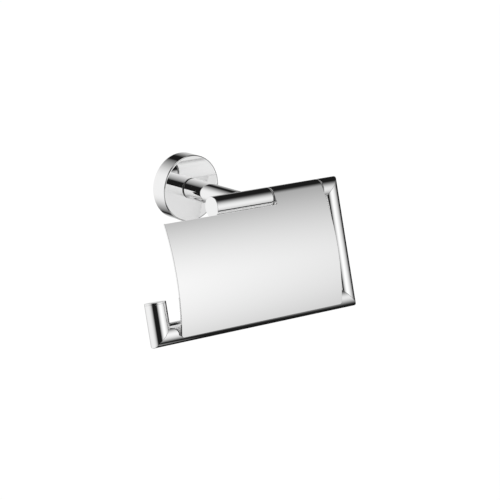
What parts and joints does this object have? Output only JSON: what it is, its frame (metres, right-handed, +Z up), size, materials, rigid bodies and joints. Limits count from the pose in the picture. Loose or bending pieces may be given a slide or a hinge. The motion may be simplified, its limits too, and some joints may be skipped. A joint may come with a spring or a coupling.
{
  "type": "toilet paper holder",
  "caption": "Wall-mounted chrome toilet paper holder: round rosette, straight post, open frame of mitred round bar, and a curved sheet cover that hinges up from the roll.",
  "frame": {"origin": "centre of the rosette's back, in the plane of the wall (y = 0)", "axes": "-Y out of the wall towards the user, +X along the wall to the side bar, +Z up"},
  "size_m": [0.1412, 0.0924, 0.0864],
  "materials": {
    "chrome": "polished",
    "steel": "zinc plated, satin",
    "rubber": "matte",
    "nylon": "matte grey nylon"
  },
  "bodies": {
    "holder": {"rosette": "chrome", "post": "chrome", "hub": "chrome", "top_bar": "chrome", "side_bar": "chrome", "roll_bar": "chrome", "upstand": "chrome", "upstand_cap": "chrome", "wall_bracket": "steel", "wall_screw_upper": "steel", "wall_screw_lower": "steel", "rosette_grub_screw": "steel", "post_washer": "steel", "post_lock_washer": "steel", "post_bolt": "steel", "hub_grub_screw": "steel", "post_gasket": "rubber"},
    "cover": {"cover": "chrome", "left_hinge_bush": "nylon", "right_hinge_bush": "nylon"}
  },
  "joints": [
    {"name": "cover_hinge", "type": "hinge", "parent": "holder", "child": "cover", "pos_m": [0.037, -0.057, 0], "axis": [-1, 0, 0], "range_deg": [0, 148]}
  ]
}
